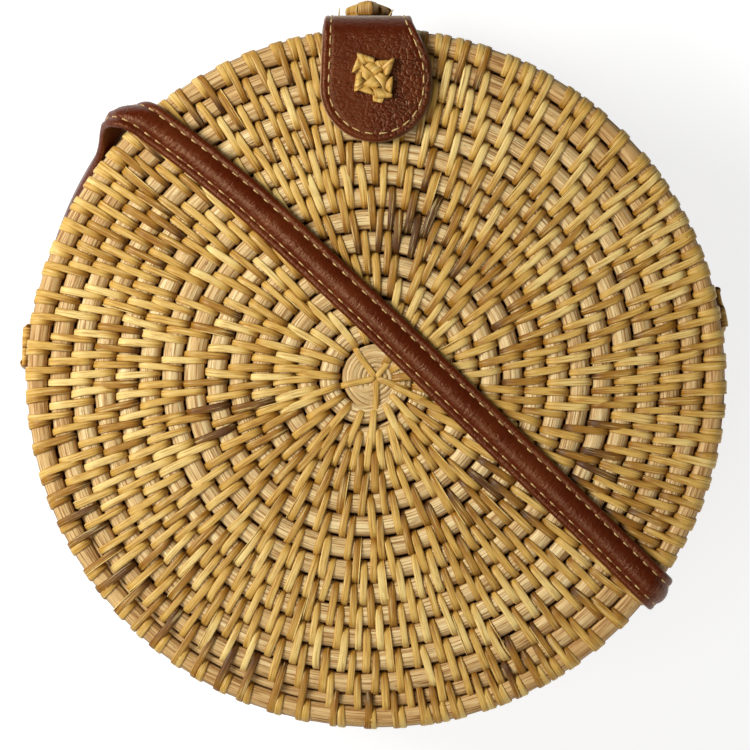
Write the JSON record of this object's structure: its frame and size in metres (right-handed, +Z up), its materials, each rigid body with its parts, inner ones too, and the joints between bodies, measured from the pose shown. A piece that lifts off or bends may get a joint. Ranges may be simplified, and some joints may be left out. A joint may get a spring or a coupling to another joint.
{
  "type": "round cane shoulder bag",
  "caption": "Round clamshell bag of coiled cane bound with split cane, lashed at the foot, closed by a leather tab, with a flat leather strap and woven knots.",
  "frame": {"origin": "on the surface that the bag lies on, under the middle of the whole bag", "axes": "+Z up out of the front face, +Y towards the top of the bag where the tab is, -Y towards the foot where the shells are lashed, +X to the right as seen from in front"},
  "size_m": [0.213, 0.2153, 0.0883],
  "materials": {
    "cane": "semi-matt peeled cane with lengthwise grain",
    "split_cane": "glossy split cane skin",
    "cotton": "plain woven cotton, dark brown",
    "strap_leather": "pebbled, semi-gloss",
    "tab_leather": "pebbled, semi-gloss",
    "backing_leather": "raw, matt",
    "closure_metal": "antique brass plate"
  },
  "bodies": {
    "back_shell": {"back_disc_coil": "cane", "back_wall_coil": "cane", "back_mouth_hoop": "cane", "back_centre_star": "split_cane", "back_lining": "cotton", "lashing_left": "split_cane", "lashing_right": "split_cane", "strap_left_end": "strap_leather", "strap_right_drop": "strap_leather", "strap_under_run": "strap_leather", "strap_right_end": "strap_leather", "strap_knot_left": "split_cane", "strap_knot_right": "split_cane", "snap_base": "closure_metal", "snap_washer": "closure_metal"},
    "front_shell": {"front_disc_coil": "cane", "front_wall_coil": "cane", "front_mouth_hoop": "cane", "front_centre_star": "split_cane", "front_lining": "cotton", "strap_front_run": "strap_leather", "tab_leather": "tab_leather", "tab_backing": "backing_leather", "tab_knot": "split_cane"},
    "tab_tail": {"tail_leather": "tab_leather", "tail_backing": "backing_leather", "tail_knot": "split_cane", "snap_cap": "closure_metal"}
  },
  "joints": [
    {"name": "lid_open", "type": "hinge", "parent": "back_shell", "child": "front_shell", "pos_m": [0, -0.10054, 0.0422], "axis": [1, 0, 0], "range_deg": [0, 50]},
    {"name": "tab_lift", "type": "hinge", "parent": "front_shell", "child": "tab_tail", "pos_m": [0, 0.09966, 0.0776], "axis": [1, 0, 0], "range_deg": [0, 100]}
  ]
}
